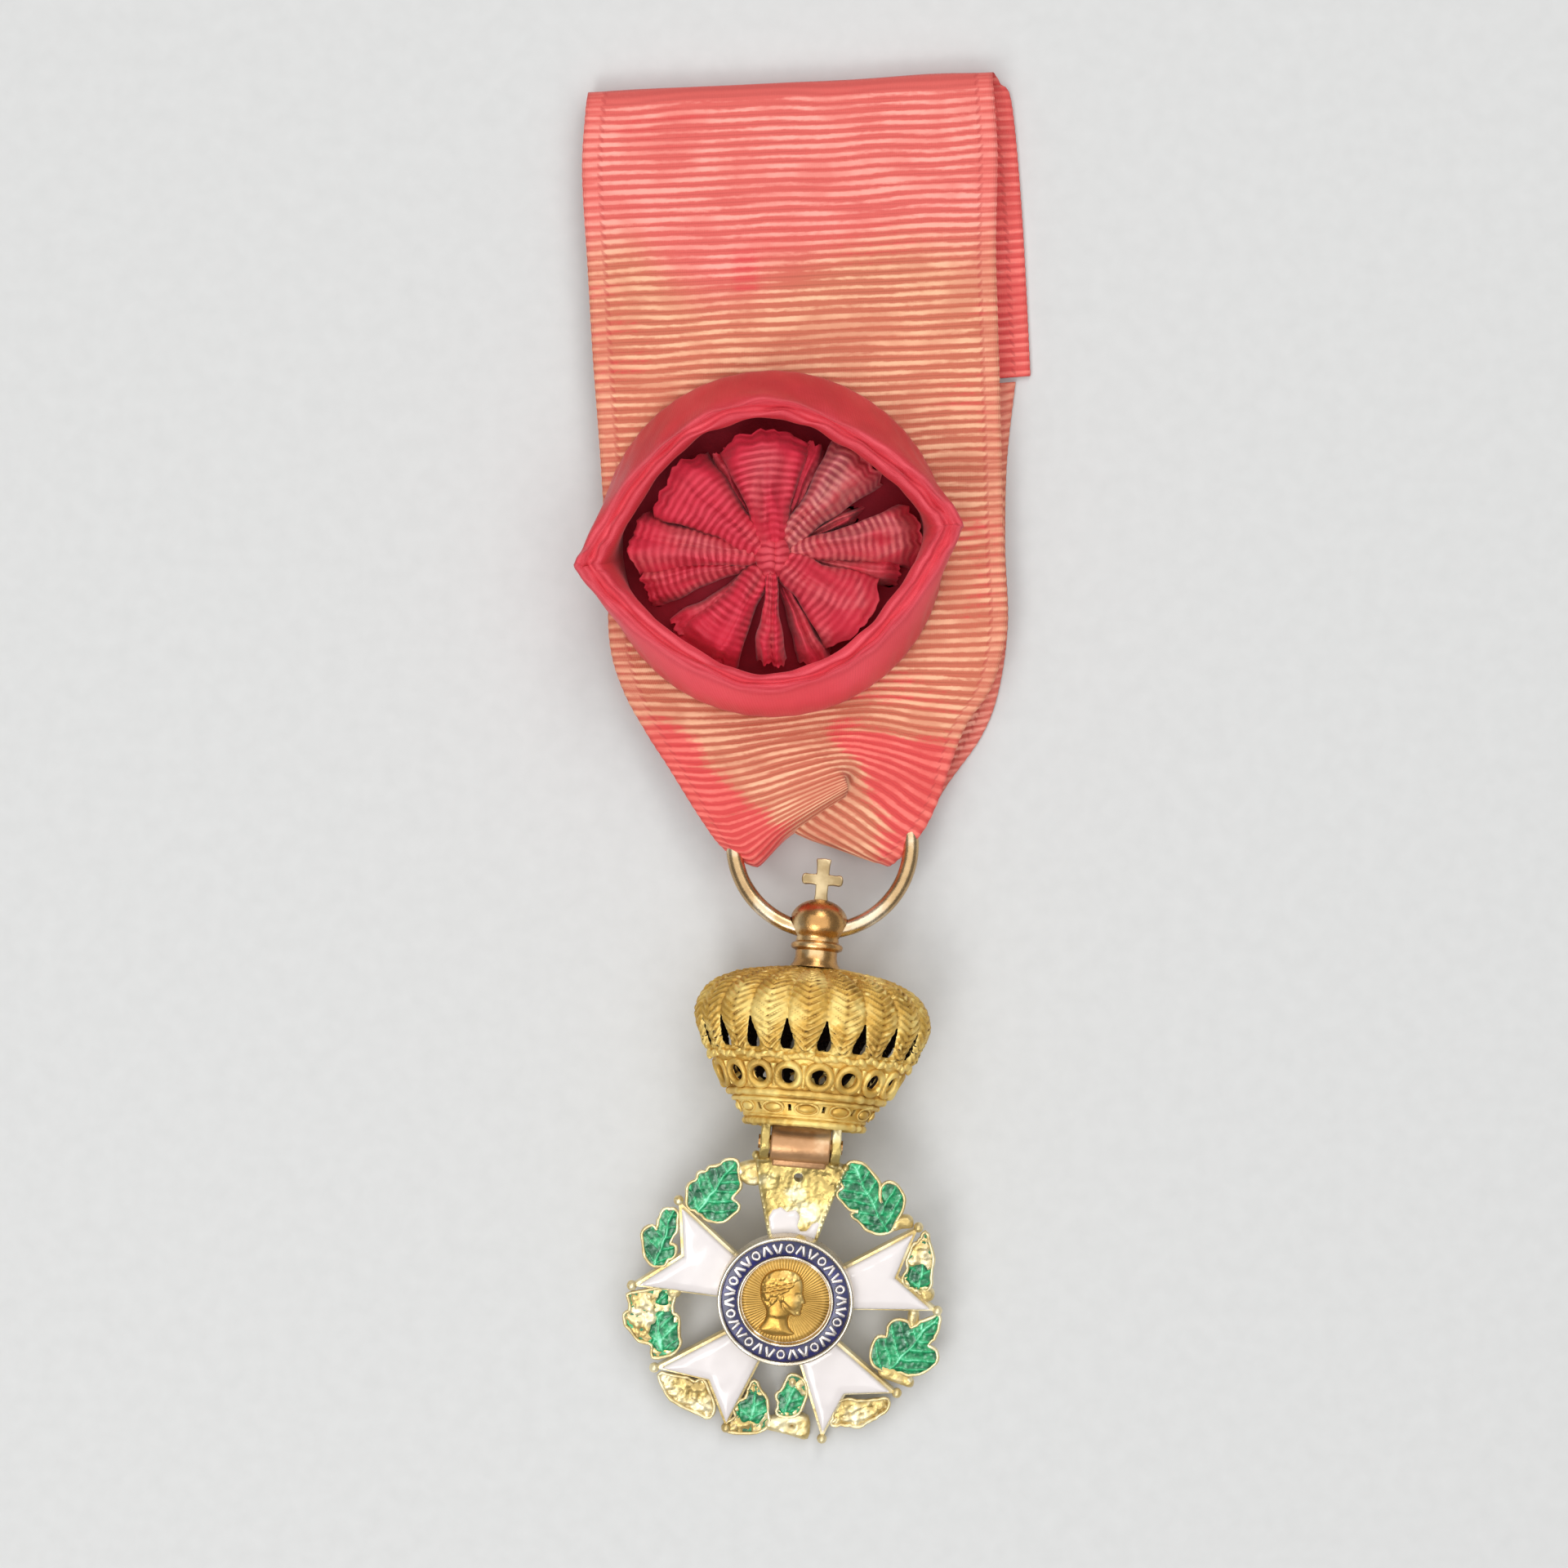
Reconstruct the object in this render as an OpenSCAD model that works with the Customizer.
// Miniature order badge lying face up: folded ribbon with rosette, ring, crown and enamelled star.
// Millimetres. X runs across the ribbon, Y up along it, Z up from the surface that it lies on.

/* [Ribbon] */
// Width of the ribbon from selvedge to selvedge
ribbon_w = 24; // [23:0.5:25]
// Wall of the ribbon, as a stiff folded silk
ribbon_wall = 1; // [0.9:0.05:1]

/* [Rosette] */
// Radius of the rosette where it sits on the ribbon
rosette_r = 9.9; // [9.4:0.1:10]
// Height of the rosette's rim above the ribbon
rim_rise = 4.4; // [3.8:0.1:4.8]
// Number of petals pleated round the middle
petals = 10; // [8:1:11]

/* [Ring] */
// Diameter of the ring's wire
wire_d = 0.9; // [0.8:0.05:0.9]
// Radius of the ring to the middle of its wire
ring_r = 4.95; // [4.9:0.01:5]

/* [Crown] */
// Depth of the crown as a share of its width
crown_flat = 0.6; // [0.58:0.01:0.62]
// Wall of the crown's dome and band
crown_wall = 0.5; // [0.45:0.05:0.55]
// Number of palm leaves, arched gaps and round rings about the crown
palms = 18; // [18:1:18]

/* [Hinge] */
// Radius of the star's hinge barrel
barrel_r = 1.05; // [1:0.05:1.1]
// Length of the star's hinge barrel
barrel_len = 3.4; // [3.2:0.1:3.4]
// Diameter of the hinge pin
pin_d = 0.8; // [0.7:0.05:0.8]
// Radial clearance of the pin in the barrel
pin_gap = 0.05; // [0.03:0.01:0.08]

/* [Star] */
// Distance from the star's middle to the points of its arms
star_r = 8.8; // [8.6:0.1:8.8]
// Thickness of the star's gold plate
plate_t = 0.9; // [0.8:0.05:0.9]
// Width of the gold edge left round each enamel field
edge_w = 0.22; // [0.18:0.01:0.25]
// Outside radius of the medallion
medal_r = 3.92; // [3.8:0.02:3.94]

/* [Hidden] */
// Gap left between pieces that are fitted together
fit_gap = 0.02;
// How far the badge is turned clockwise on the surface, and how far the crown's head dips
badge_turn = 4.8;
crown_tip = 6;

// Middle of the badge's outline, which is put at the origin, and places measured beside it
middle = [-0.06, -0.3];
hinge_xy = [-0.31, -22.21] - middle;
ring_xy = [0.92, -5.1] - middle;
rosette_xy = [-1.9, 12.2] - middle;
rim_shift = [-0.2, -0.3];
rim_turn = 6;

// Ribbon, tail first. Columns: middle x, middle y, share of the width, turn of the rib, height of the
// wall's middle, lean of its outer side from straight up, ridge height, share of the lower edge's arch.
leaf_low = ribbon_wall / 2;
leaf_high = 1.75;
fold_y = 37.8;
fold_r = (leaf_high - leaf_low) / 2;
fold_lean = [135, 90, 45];
ribbon_rows = concat(
    [
        [1.05, 21.15, 1, 4.2, leaf_low, 180, 0, 0],
        [0.45, 30.1, 1, 3.7, leaf_low, 180, 0, 0],
        [-0.3, 37.2, 0.985, 3.3, leaf_low, 180, 0, 0],
    ],
    [
        for (a = fold_lean)
            [-0.75, fold_y + fold_r * sin(a), 0.975, 3, leaf_low + fold_r + fold_r * cos(a), a, 0, 0]
    ],
    [
        [-0.9, 37.4, 0.975, 3, leaf_high, 0, 0, 0],
        [-0.9, 33, 0.99, 2.9, leaf_high, 0, 0, 0],
        [-0.6, 23.4, 0.975, 2.9, leaf_high, 0, 0, 0],
        [0, 11.1, 0.955, 2.8, leaf_high, 0, 0, 0],
        [0.2, 5.6, 0.945, 2.6, leaf_high, 0, 0, 0],
        [0.35, 3.2, 0.88, 2, leaf_high, 0, 0, 0],
        [0.3, 2.1, 0.83, 1.5, 1.8, 12, 0, 0],
        [0.05, 0.1, 0.7, 0.8, 2.6, 18, 0.2, 0],
        [0.15, -2.2, 0.59, -0.9, 3.3, 17, 0.5, 0],
        [0.15, -4.2, 0.48, 0, 4.05, 8, 0.5, 0.4],
        [0.35, -5.2, 0.412, 0, 4.15, -15, 0.3, 0.8],
        [0.85, -5.75, 0.345, 0, 3.75, -50, 0.1, 1],
        [0.9, -5.95, 0.31, 0, 2.3, -90, 0, 1],
        [0.9, -5.75, 0.325, 0, 0.95, -135, 0, 1],
        [0.7, -5.2, 0.4, 0, leaf_low, 180, 0, 0.8],
        [0.5, -4.2, 0.51, -1, leaf_low, 180, 0, 0.4],
        [0.65, -1.6, 0.63, 0, leaf_low, 180, 0, 0],
        [0.45, 2.9, 0.87, 0, leaf_low, 180, 0, 0],
        [0.2, 7.2, 0.95, 1.9, leaf_low, 180, 0, 0],
        [-0.25, 16.4, 0.98, 3, leaf_low, 180, 0, 0],
        [-0.2, 20.25, 1, 3.8, leaf_low, 180, 0, 0],
    ]
);
// How far the lower edge arches up. Columns: place across from -1 to 1, rise.
lower_arch = [
    [-1, 0], [-0.84, 0.8], [-0.66, 1.8], [-0.5, 2.05], [-0.07, 1.45], [0.36, 0.8], [0.9, 0.05], [1, 0]
];
// The gathered fold runs down the middle of the lower leaf
ridge_at = 0.2;
ridge_half = 0.35;
ribbon_cols = [-1, -0.92, -0.84, -0.66, -0.5, -0.28, -0.07, 0.1, 0.2, 0.36, 0.54, 0.72, 0.9, 1];

// Rosette cup, from the outside of its foot over the rim to the inside.
// Columns: half span, half rise, pinch (0.5 round, 1 pointed), share of the rim's height, share of the shift.
cup_rows = [
    [rosette_r, rosette_r, 0.5, 0, 0],
    [rosette_r + 0.2, rosette_r, 0.55, 0.28, 0.2],
    [rosette_r + 0.7, rosette_r - 0.7, 0.7, 0.64, 0.6],
    [rosette_r + 1.2, rosette_r - 1.5, 0.95, 0.89, 1],
    [rosette_r + 0.7, rosette_r - 1.85, 0.95, 1, 1],
    [rosette_r + 0.2, rosette_r - 2.1, 0.95, 0.92, 1],
    [rosette_r - 0.3, rosette_r - 2.35, 0.95, 1, 1],
    [rosette_r - 1.2, rosette_r - 2.65, 0.95, 0.87, 1],
    [rosette_r - 1.2, rosette_r - 1.7, 0.75, 0.5, 0.5],
    [rosette_r - 1.2, rosette_r - 1.1, 0.5, 0, 0],
];
cup_sides = 48;

// Rosette petals, from the hub outwards. Columns: share of the radius, height of the top, pleat depth.
petal_rows = [
    [0.1, 2.4, 0], [0.25, 2.5, 0.15], [0.5, 2.9, 0.35], [0.75, 2.9, 0.5], [0.92, 2.6, 0.6], [1, 2.2, 0.6],
];
petal_r = [7.5, 6.8];
petal_wall = 1;
petal_sides = petals * 6;
hub_share = 0.25;

// Crown wall, upwards. Columns: height above the hinge, half width, relief of the palm leaves, half angle of
// the opening between them, rise of its rim, 1 where the opening goes on to the next row.
crown_rows = [
    [1, 3.2, 0, 3, 0, 0],
    [1.3, 3.5, 0, 3, 0, 0],
    [1.7, 3.55, 0, 3, 0, 0],
    [2.2, 3.95, 0, 3, 0, 0],
    [2.4, 4.25, 0, 3, 0, 0],
    [2.8, 4.4, 0, 2.5, 0, 0],
    [3.1, 4.6, 0, 3, 0.2, 1],
    [3.6, 4.95, 0, 5.5, 0.25, 1],
    [4.1, 5.3, 0, 3, 0.2, 0],
    [4.35, 5.5, 0, 2.5, 0, 0],
    [4.6, 5.85, 0, 2, 0, 0],
    [5, 5.75, 0.1, 1, 0, 1],
    [5.25, 5.9, 0.12, 3.6, 0, 1],
    [5.6, 6.1, 0.15, 4, 0, 1],
    [6.4, 6.5, 0.2, 2.4, 0, 1],
    [7.2, 6.6, 0.2, 0.6, 0, 0],
    [8.3, 6.2, 0.2, 3, 0, 0],
    [9.1, 5.2, 0.2, 3, 0, 0],
    [9.7, 3.4, 0.12, 3, 0, 0],
    [10.08, 1.35, 0, 3, 0, 0],
];
palm_cols = 5;
palm_phase = -3;
hinge_z = max([
    for (r = crown_rows) r[0] * sin(crown_tip) + crown_flat * (r[1] + r[2]) * cos(crown_tip)
]) + 0.02;

// Finial above the hinge, along the crown's own axis
neck_y = 10.1;
bead_y = 12.7;
bead_half = [1.55, 1.17];
cross_y = [13.8, 16.4];
cross_arm_y = 15.2;
bore_d = 1.4;

// Ring: its top lies between the ribbon's leaves and its foot passes through the bead
ring_top_z = 1.5;
ring_foot_z = hinge_z - (bead_y - 0.4) * sin(crown_tip);
ring_tilt = asin((ring_foot_z - ring_top_z) / (2 * ring_r));

// Hinge
lug_t = 0.55;
lug_r = 1;
lug_x = barrel_len / 2 + 0.05;
bridge_y = [1.35, 2];
bridge_half = [2.9, 1.5];

// Star: the middle lies below the hinge, and its lowest points rest on the surface
star_reach = 9.55;
arm_base = [1.29, 3.6];
arm_half = 2.66;
arm_reach = sqrt(star_r * star_r - arm_half * arm_half);
arm_notch = 6.6;
// Arms, clockwise from the hinge. Columns: how far it is turned from its fifth, share of the full reach.
arm_set = [[-0.9, 1.025], [1.2, 0.995], [0, 0.96], [-3.5, 0.96], [-2.9, 1]];
ball_r = 0.2;
// The wreath's lowest point rests on the surface
low_point = 8.3;
low_reach = star_reach + low_point;
low_half = plate_t / 2;
star_droop = asin((hinge_z - 0.02) / norm([low_reach, low_half])) - atan(low_half / low_reach);
field_floor = 0.15;
field_rise = 0.05;
short_field_y = 5.4;
// Web between the arm at the hinge and the barrel, with a small round hole
web_len = 3.2;
web_t = 0.8;
web_hole_y = 1.95;
web_hole_r = 0.27;

// Leaves of the wreath. Columns: foot x, foot y, tip x, tip y, half width, lobes a side, enamelled.
leaf_rows = [
    [-5.35, 4.75, -3.7, 8.3, 1.3, 3, 1],
    [-7.6, 1.55, -7.1, 5, 0.85, 2, 1],
    [-6.9, -4.6, -7.7, 0.9, 1.3, 3, 1],
    [-3.5, -6.95, -6.9, -4.9, 0.7, 2, 0],
    [-1.7, -8.05, -1.45, -5, 0.85, 2, 1],
    [0.5, -7.1, 0.7, -4.4, 0.72, 1, 1],
    [3.2, -6.75, 6.3, -5.5, 0.75, 2, 0],
    [6, -3.75, 8.3, -0.2, 1.5, 3, 1],
    [7.45, 1.15, 7.5, 4.9, 0.75, 2, 1],
    [5.7, 4.85, 3, 8.7, 1.3, 3, 1],
];
leaf_z = [-0.35, 0.2];
leaf_points = 24;
leaf_edge = 0.17;
leaf_fields = [for (i = [0:len(leaf_rows) - 1]) if (leaf_rows[i][6] == 1) i];
// Plain gold links that join leaves to the arms. Columns: middle x, middle y, half length, half width, turn.
// The loops of the wreath's bow are links with a hole.
bow_loops = [[-0.15, -7.55, 1.15, 0.45, 4], [1.25, -7.5, 0.75, 0.6, -3]];
bow_hole_r = 0.18;
links = [
    [-2.9, 7.6, 0.75, 0.5, 0], [6.2, 5.3, 0.75, 0.3, 10], [6.65, -3.95, 1.15, 0.3, -20],
    [7.3, -0.4, 0.6, 0.2, 90], [-2.2, -7.82, 0.95, 0.22, 4],
];

// Medallion, heights above the middle of the star's plate
medal_foot = plate_t / 2 + fit_gap;
groove_z = 0.95;
rim_z = 1.3;
disc_z = 1.1;
groove_r = [2.76, medal_r - 0.28];
disc_r = 2.62;
marks = 20;
mark_z = 1.24;
glaze_z = 1.18;
boss_r = 3.3;
boss_h = 0.5;
// Relief head in profile, a plain classical type. Units: heights of the face.
head_size = 2.75;
head_at = [-0.2, 0.15];
head_path = [
    [-0.36, -0.78], [0.1, -0.78], [0.12, -0.55], [0.3, -0.5], [0.37, -0.42], [0.35, -0.33], [0.38, -0.26],
    [0.36, -0.23], [0.39, -0.19], [0.37, -0.13], [0.46, -0.09], [0.37, 0.1], [0.38, 0.17], [0.35, 0.33],
    [0.26, 0.46], [0.05, 0.54], [-0.22, 0.48], [-0.4, 0.28], [-0.42, 0.02], [-0.3, -0.22], [-0.24, -0.5],
];
hair_path = [
    [0.33, 0.3], [0.26, 0.46], [0.05, 0.54], [-0.22, 0.48], [-0.4, 0.28], [-0.42, 0.02], [-0.3, -0.2],
    [-0.16, -0.14], [-0.1, 0.12], [0.1, 0.2],
];

function unit(v) = v / norm(v);

// A corner q of a path moved in by d along the bisector of its two sides
function mitre(p, q, r, d) =
    let (u = unit(p - q), v = unit(r - q))
    q + sign(cross(q - p, r - q)) * d * (u + v) / abs(cross(u, v));

function inset(path, d) =
    let (n = len(path))
    [for (i = [0:n - 1]) mitre(path[(i + n - 1) % n], path[i], path[(i + 1) % n], d)];

// A closed solid skinned over rows of points; as a ring, the last row joins the first
module skin(rows, ring = false) {
    n = len(rows[0]);
    m = len(rows);
    bands = ring ? m : m - 1;
    sides = [
        for (i = [0:bands - 1], j = [0:n - 1])
            let (a = i * n + j, b = i * n + (j + 1) % n, k = ((i + 1) % m) * n)
            each [[a, b, k + (j + 1) % n], [a, k + (j + 1) % n, k + j]]
    ];
    ends = ring ? [] : [[for (j = [n - 1:-1:0]) j], [for (j = [0:n - 1]) (m - 1) * n + j]];
    polyhedron(points = [for (r = rows) each r], faces = concat(sides, ends), convexity = 10);
}

// One side of the ribbon's wall at a row: side is 1 outside and -1 inside
function ribbon_side(row, side) = [
    for (u = ribbon_cols)
        let (
            half = ribbon_w * row[2] / 2,
            ridge = row[6] * exp(-pow((u - ridge_at) / ridge_half, 2)),
            off = side * ribbon_wall / 2
        )
        [
            row[0] - middle[0] + u * half * cos(row[3]),
            row[1] - middle[1] + u * half * sin(row[3]) + lookup(u, lower_arch) * row[7] + off * sin(row[5]),
            row[4] + ridge + off * cos(row[5])
        ]
];

function backwards(list) = [for (i = [len(list) - 1:-1:0]) list[i]];

module ribbon() {
    rows = [for (r = ribbon_rows) concat(ribbon_side(r, 1), backwards(ribbon_side(r, -1)))];
    color("lightcoral") skin(rows);
}

// A round or pinched outline: pinch 0.5 gives an ellipse and 1 a pointed lens
function pinched(half_x, half_y, pinch, a) =
    [half_x * cos(a), half_y * sign(sin(a)) * pow(abs(sin(a)), 2 * pinch)];

function turned(p, a) = [p[0] * cos(a) - p[1] * sin(a), p[0] * sin(a) + p[1] * cos(a)];

module on_ribbon() {
    translate([rosette_xy[0], rosette_xy[1], leaf_high + ribbon_wall / 2 + fit_gap]) children();
}

module rosette_cup() {
    rows = [
        for (r = cup_rows) [
            for (i = [0:cup_sides - 1])
                let (p = turned(pinched(r[0], r[1], r[2], i * 360 / cup_sides), rim_turn) + rim_shift * r[4])
                [p[0], p[1], r[3] * rim_rise]
        ]
    ];
    color("crimson") on_ribbon() skin(backwards(rows), ring = true);
}

// Top of a petal row, and its underside, which closes down to the ribbon at the hub
function petal_ring(r, top) = [
    for (i = [0:petal_sides - 1])
        let (
            a = i * 360 / petal_sides,
            z = r[1] + r[2] * cos(petals * a),
            low = r[0] <= hub_share ? 0 : z - petal_wall
        )
        [petal_r[0] * r[0] * cos(a), petal_r[1] * r[0] * sin(a), top ? z : low]
];

module rosette_petals() {
    rows = concat(
        [for (r = petal_rows) petal_ring(r, true)],
        [for (r = backwards(petal_rows)) petal_ring(r, false)]
    );
    color("firebrick") on_ribbon() translate([-0.1, -0.5, 0]) skin(rows);
}

module ring() {
    middle = (ring_top_z + ring_foot_z) / 2;
    color("goldenrod")
        translate([ring_xy[0], ring_xy[1], middle])
            rotate([-ring_tilt, 0, 0])
                rotate_extrude($fn = 96)
                    translate([ring_r, 0])
                        circle(d = wire_d, $fn = 24);
}

module at_hinge() {
    translate([hinge_xy[0], hinge_xy[1], hinge_z]) rotate([0, 0, -badge_turn]) children();
}

// The crown's own frame: Y runs from the hinge to the cross, Z to its front
module in_crown() {
    at_hinge() rotate([-crown_tip, 0, 0]) children();
}

// A solid of revolution about the crown's own axis
module turned_up() {
    rotate([-90, 0, 0]) rotate_extrude($fn = 64) children();
}

module cross_shape() {
    stem = [0.78, cross_y[1] - cross_y[0], 0.6];
    translate([-stem[0] / 2, cross_y[0], -stem[2] / 2]) cube(stem);
    translate([0, 0, -stem[2] / 2])
        linear_extrude(stem[2])
            polygon([
                [-1.15, cross_arm_y - 0.35], [0, cross_arm_y - 0.22], [1.15, cross_arm_y - 0.35],
                [1.15, cross_arm_y + 0.35], [0, cross_arm_y + 0.22], [-1.15, cross_arm_y + 0.35],
            ]);
}

module finial() {
    round_r = bead_half[1];
    flat_r = bead_half[0] - round_r;
    color("darkgoldenrod") in_crown() {
        difference() {
            union() {
                turned_up() polygon([
                    [0, 9.65], [0.65, 9.65], [0.65, neck_y], [1.4, neck_y], [1.36, 10.3], [1.18, 10.6],
                    [1.16, 11.1], [1.48, 11.18], [1.48, 11.46], [1.2, 11.6], [1.2, 12], [0, 12],
                ]);
                turned_up() translate([0, bead_y]) intersection() {
                    union() {
                        translate([flat_r, 0]) circle(r = round_r, $fn = 64);
                        translate([0, -round_r]) square([flat_r, 2 * round_r]);
                    }
                    translate([0, -2]) square([2, 4]);
                }
                cross_shape();
            }
            translate([0, bead_y - 0.22, 0])
                rotate([0, 90, 0])
                    cylinder(d = bore_d, h = 4, center = true, $fn = 48);
        }
    }
}

// Columns of the crown's wall, five to a palm leaf: its rib, its side, the two rims of the opening, a side
function crown_angle(j, open) =
    let (half = 180 / palms, k = j % palm_cols)
    palm_phase + floor(j / palm_cols) * 2 * half
    + [0, (half - open) / 2, half - open, half + open, (3 * half + open) / 2][k];

// A point of the crown's wall, on its outside or set in by the wall's thickness; angle 0 is its front
function crown_point(i, j, inside) =
    let (
        row = crown_rows[i],
        a = crown_angle(j, row[3]),
        rim = j % palm_cols == 2 || j % palm_cols == 3 ? row[4] : 0,
        r = row[1] + rim + row[2] * abs(cos(palms / 2 * (a - palm_phase))),
        rise = crown_rows[min(i + 1, len(crown_rows) - 1)] - crown_rows[max(i - 1, 0)],
        slope = unit([rise[0], rise[1]]),
        out = unit([crown_flat * sin(a), cos(a)]),
        in = inside ? crown_wall : 0
    )
    [
        r * sin(a) - in * slope[0] * out[0],
        row[0] + in * slope[1],
        r * crown_flat * cos(a) - in * slope[0] * out[1]
    ];

// Whether the wall is pierced between this row and column and the next
function is_open(i, j) = i >= 0 && j % palm_cols == 2 && crown_rows[i][5] == 1;

function quad(a, b, c, d) = [[a, b, c], [a, c, d]];

module crown() {
    n = len(crown_rows);
    m = palms * palm_cols;
    points = [for (side = [false, true], i = [0:n - 1], j = [0:m - 1]) crown_point(i, j, side)];
    cells = [for (i = [0:n - 2], j = [0:m - 1]) [i, j, (j + 1) % m]];
    walls = [
        for (c = cells)
            let (a = c[0] * m + c[1], b = c[0] * m + c[2], in = n * m)
            each is_open(c[0], c[1])
                ? concat(
                    quad(a, a + m, a + m + in, a + in),
                    quad(b, b + in, b + m + in, b + m),
                    is_open(c[0] - 1, c[1]) ? [] : quad(a, a + in, b + in, b),
                    is_open(c[0] + 1, c[1]) ? [] : quad(a + m, b + m, b + m + in, a + m + in)
                )
                : concat(quad(a, a + m, b + m, b), quad(a + in, b + in, b + m + in, a + m + in))
    ];
    ends = [
        for (j = [0:m - 1])
            let (b = (j + 1) % m, in = n * m, top = (n - 1) * m)
            each concat(quad(j, b, b + in, j + in), quad(top + j, top + j + in, top + b + in, top + b))
    ];
    color("gold") in_crown() polyhedron(points = points, faces = concat(walls, ends), convexity = 10);
}

// Oval bridge plate inside the crown's band, with a lug at each end of the barrel
module crown_hinge() {
    color("goldenrod") in_crown() difference() {
        union() {
            translate([0, bridge_y[1], 0])
                rotate([90, 0, 0])
                    scale([1, bridge_half[1] / bridge_half[0], 1])
                        cylinder(r = bridge_half[0], h = bridge_y[1] - bridge_y[0], $fn = 96);
            for (s = [-1, 1])
                translate([s * (lug_x + lug_t / 2), 0, 0]) {
                    rotate([0, 90, 0]) cylinder(r = lug_r, h = lug_t, center = true, $fn = 48);
                    translate([-lug_t / 2, 0, -lug_r]) cube([lug_t, bridge_y[1], 2 * lug_r]);
                }
        }
        rotate([0, 90, 0]) cylinder(d = pin_d + 2 * fit_gap, h = 8, center = true, $fn = 48);
    }
}

module hinge_pin() {
    color("peru")
        at_hinge()
            rotate([0, 90, 0])
                cylinder(d = pin_d, h = 2 * (lug_x + lug_t + 0.1), center = true, $fn = 48);
}

// The star's own frame: its middle, with Y towards the hinge and Z to its front
module in_star() {
    at_hinge() rotate([star_droop, 0, 0]) translate([0, -star_reach, 0]) children();
}

module arm(path, low, high) {
    translate([0, 0, low]) linear_extrude(high - low) polygon(path);
}

function arm_path(k) =
    let (reach = arm_reach * arm_set[k][1])
    [
        [-arm_base[0], arm_base[1]], [arm_base[0], arm_base[1]], [arm_half, reach], [0, arm_notch],
        [-arm_half, reach],
    ];

module at_arm(k) {
    rotate(arm_set[k][0] - 72 * k) children();
}

// The arms' whole outline, grown by a gap, for cutting the leaves' enamel clear of it
module arms_clearance(gap) {
    for (k = [0:4]) at_arm(k) arm(inset(arm_path(k), -gap), -plate_t, 2 * plate_t);
}

// Half width of a leaf along its midrib, in lobes that lean towards the tip
function leaf_half(t, half, lobes) =
    half * pow(sin(180 * t), 0.6) * (1 - 0.3 * cos(360 * lobes * t) * (lobes > 1 ? 1 : 0));

function leaf_side(length, half, lobes, edge, side) = [
    for (i = [0:leaf_points / 2])
        let (
            t = i * 2 / leaf_points,
            w = leaf_half(t, half, lobes),
            y = edge + t * (length - 2 * edge)
        )
        [side * max(w - edge, 0), y + (lobes > 1 ? 0.35 * w * sin(180 * t) : 0)]
];

module leaf(row, edge, low, high) {
    length = norm([row[2] - row[0], row[3] - row[1]]);
    right = leaf_side(length, row[4], row[5], edge, 1);
    left = leaf_side(length, row[4], row[5], edge, -1);
    path = concat(right, [for (i = [len(left) - 2:-1:1]) left[i]]);
    translate([row[0], row[1], low])
        rotate(atan2(row[3] - row[1], row[2] - row[0]) - 90)
            linear_extrude(high - low)
                polygon(path);
}

module link(b) {
    translate([b[0], b[1], leaf_z[0]]) rotate(b[4]) linear_extrude(leaf_z[1] - leaf_z[0]) {
        square([2 * b[2] - 2 * b[3], 2 * b[3]], center = true);
        for (s = [-1, 1]) translate([s * (b[2] - b[3]), 0]) circle(r = b[3], $fn = 24);
    }
}

module bow_loop(b) {
    difference() {
        link(b);
        translate([b[0], b[1], -1]) cylinder(r = bow_hole_r, h = 2, $fn = 16);
    }
}

module star_plate() {
    half = plate_t / 2;
    color("gold") in_star() {
        difference() {
            union() {
                translate([0, 0, -half]) cylinder(r = 3.75, h = plate_t, $fn = 64);
                for (k = [0:4]) at_arm(k) {
                    arm(arm_path(k), -half, half);
                    for (s = [-1, 1])
                        translate([s * arm_half, arm_reach * arm_set[k][1], 0])
                            cylinder(r = ball_r, h = plate_t, center = true, $fn = 24);
                }
                for (r = leaf_rows) leaf(r, 0, leaf_z[0], leaf_z[1]);
                for (b = bow_loops) bow_loop(b);
                for (b = links) link(b);
                translate([-barrel_len / 2, star_reach - web_len, -web_t / 2])
                    cube([barrel_len, web_len, web_t]);
                translate([0, star_reach, 0])
                    rotate([0, 90, 0])
                        cylinder(r = barrel_r, h = barrel_len, center = true, $fn = 64);
            }
            for (k = [0:4]) at_arm(k) arm(inset(arm_path(k), edge_w), field_floor, half + 1.5);
            difference() {
                for (i = leaf_fields) leaf(leaf_rows[i], leaf_edge, 0, 1);
                arms_clearance(0);
            }
            translate([0, star_reach, 0])
                rotate([0, 90, 0])
                    cylinder(d = pin_d + 2 * pin_gap, h = 8, center = true, $fn = 48);
            translate([0, star_reach - web_hole_y, -1]) cylinder(r = web_hole_r, h = 2, $fn = 16);
        }
    }
}

module arm_enamel(k) {
    reach = k == 1 ? short_field_y : star_r + edge_w;
    field = inset(arm_path(k - 1), edge_w + fit_gap);
    color("ivory")
        in_star()
            at_arm(k - 1)
                intersection() {
                    arm(field, field_floor + fit_gap, plate_t / 2 + field_rise);
                    translate([-reach / 2, 0, 0]) cube([reach, reach, plate_t]);
                }
}

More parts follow.
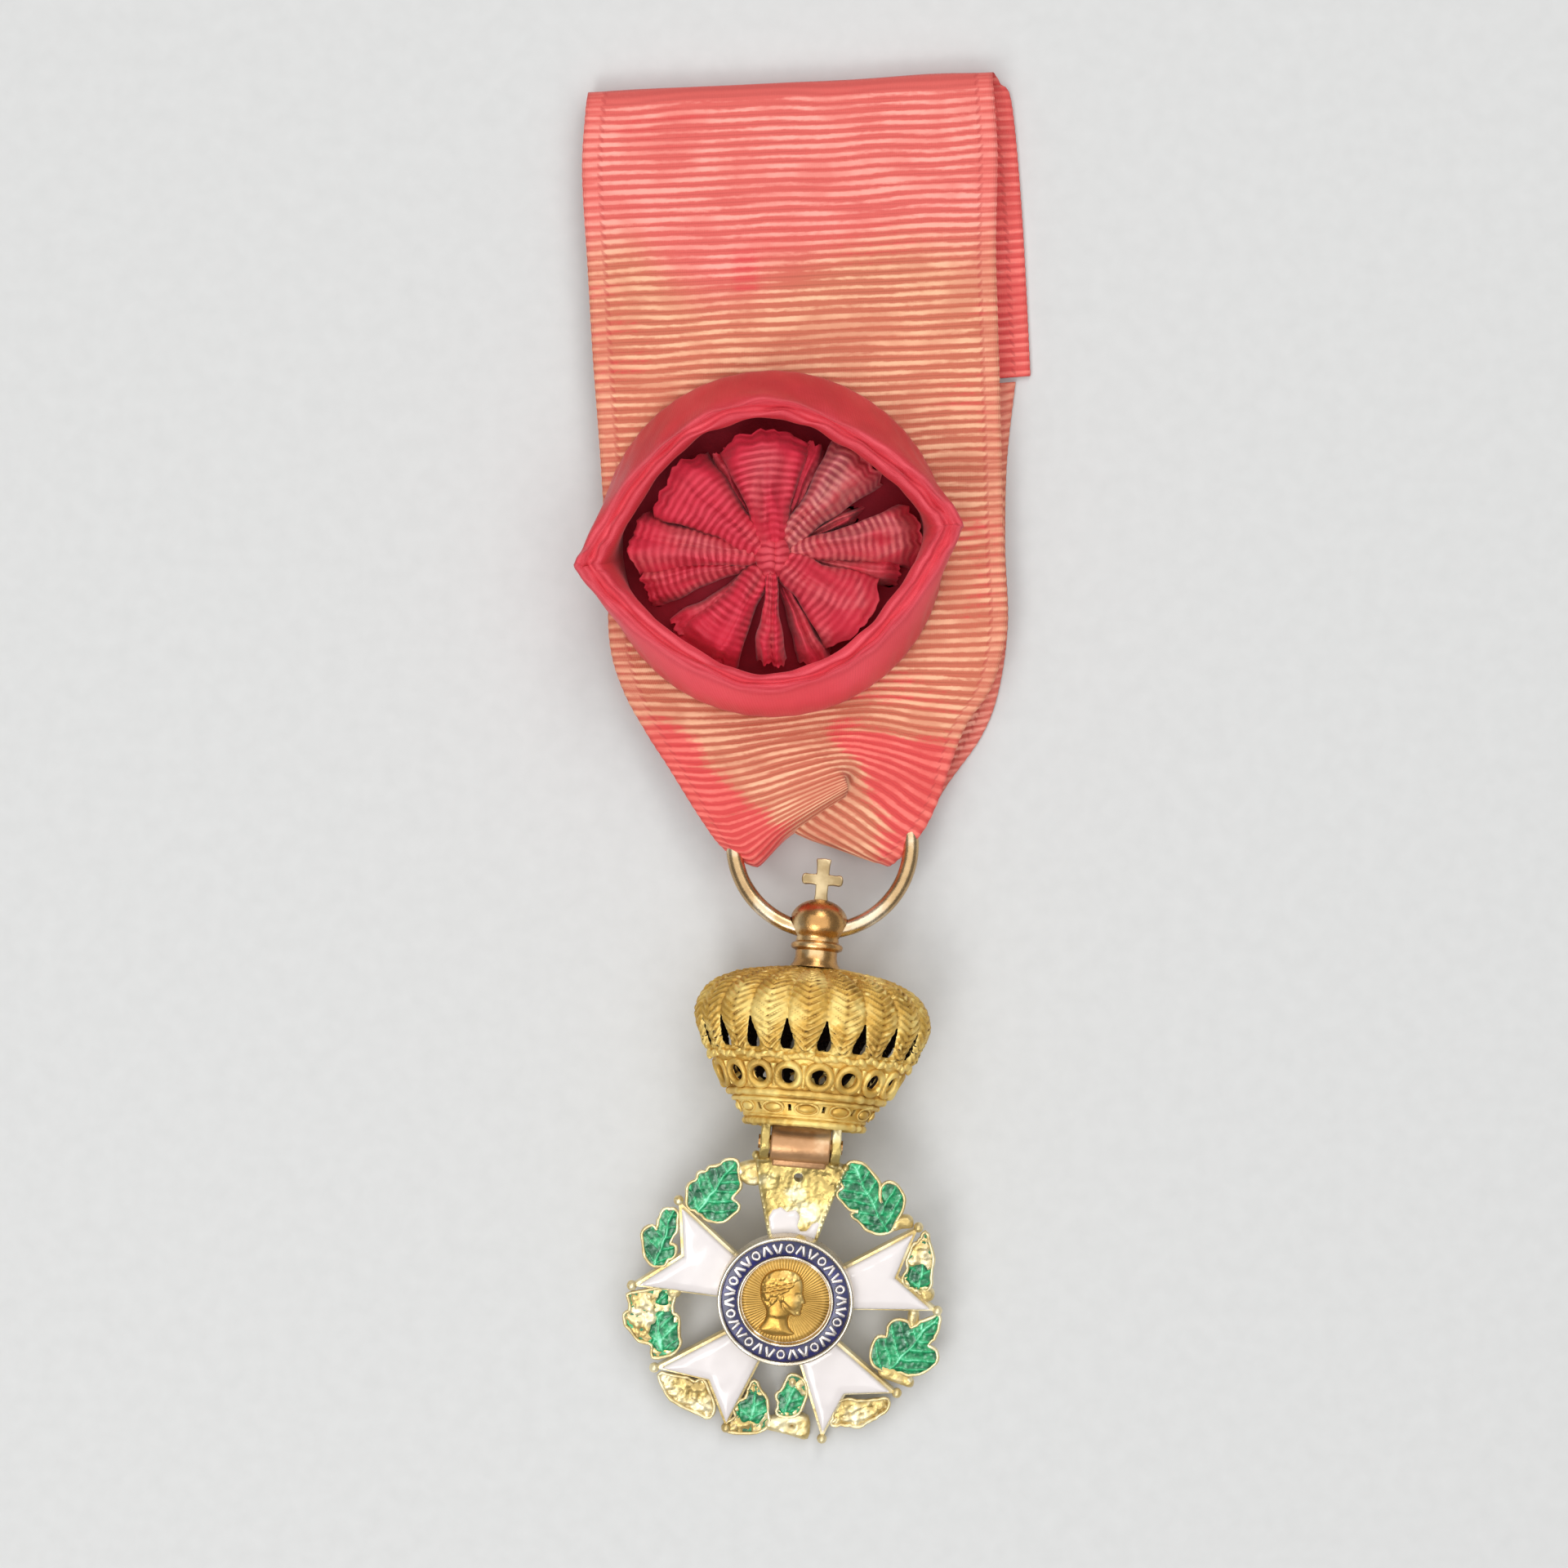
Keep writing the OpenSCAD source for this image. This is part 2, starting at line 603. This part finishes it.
module leaf_enamel(k) {
    color("mediumseagreen")
        in_star()
            difference() {
                leaf(leaf_rows[leaf_fields[k - 1]], leaf_edge + fit_gap, fit_gap, leaf_z[1] + 0.05);
                arms_clearance(fit_gap);
            }
}

// One ornament of the enamel ring: a leaf stroke set aslant and a pellet
module mark(grow) {
    r = (groove_r[0] + groove_r[1]) / 2;
    translate([0, r, 0]) rotate(25) square([0.2 + 2 * grow, 0.62 + 2 * grow], center = true);
    rotate(-180 / marks) translate([0, r]) circle(r = 0.13 + grow, $fn = 16);
}

module mark_ring(grow, low, high) {
    translate([0, 0, low])
        linear_extrude(high - low)
            for (i = [0:marks - 1]) rotate(-i * 360 / marks) mark(grow);
}

module medallion() {
    color("gold") in_star() {
        rotate_extrude($fn = 96) polygon([
            [0, medal_foot], [medal_r, medal_foot], [medal_r, rim_z], [groove_r[1], rim_z],
            [groove_r[1], groove_z], [groove_r[0], groove_z], [groove_r[0], rim_z], [disc_r, rim_z],
            [disc_r, disc_z], [0, disc_z],
        ]);
        mark_ring(0, groove_z - 0.1, mark_z);
        translate([head_at[0], head_at[1], disc_z - 0.1]) {
            linear_extrude(0.3) polygon(head_size * head_path);
            linear_extrude(0.38) polygon(head_size * hair_path);
        }
    }
}

module medallion_enamel() {
    color("midnightblue") in_star() difference() {
        rotate_extrude($fn = 96) polygon([
            [groove_r[0] + fit_gap, groove_z + fit_gap], [groove_r[1] - fit_gap, groove_z + fit_gap],
            [groove_r[1] - fit_gap, glaze_z], [groove_r[0] + fit_gap, glaze_z],
        ]);
        mark_ring(fit_gap, groove_z - 0.1, mark_z + 0.1);
    }
}

module back_boss() {
    foot = -plate_t / 2 - fit_gap;
    dome = [for (a = [0:15:90]) [boss_r * sin(a), foot - boss_h * cos(a)]];
    color("gold") in_star() rotate_extrude($fn = 96) polygon(concat(dome, [[0, foot]]));
}

ribbon();
rosette_cup();
rosette_petals();
ring();
finial();
crown();
crown_hinge();
hinge_pin();
star_plate();
medallion();
medallion_enamel();
back_boss();
for (i = [1:5]) arm_enamel(i);
for (i = [1:len(leaf_fields)]) leaf_enamel(i);
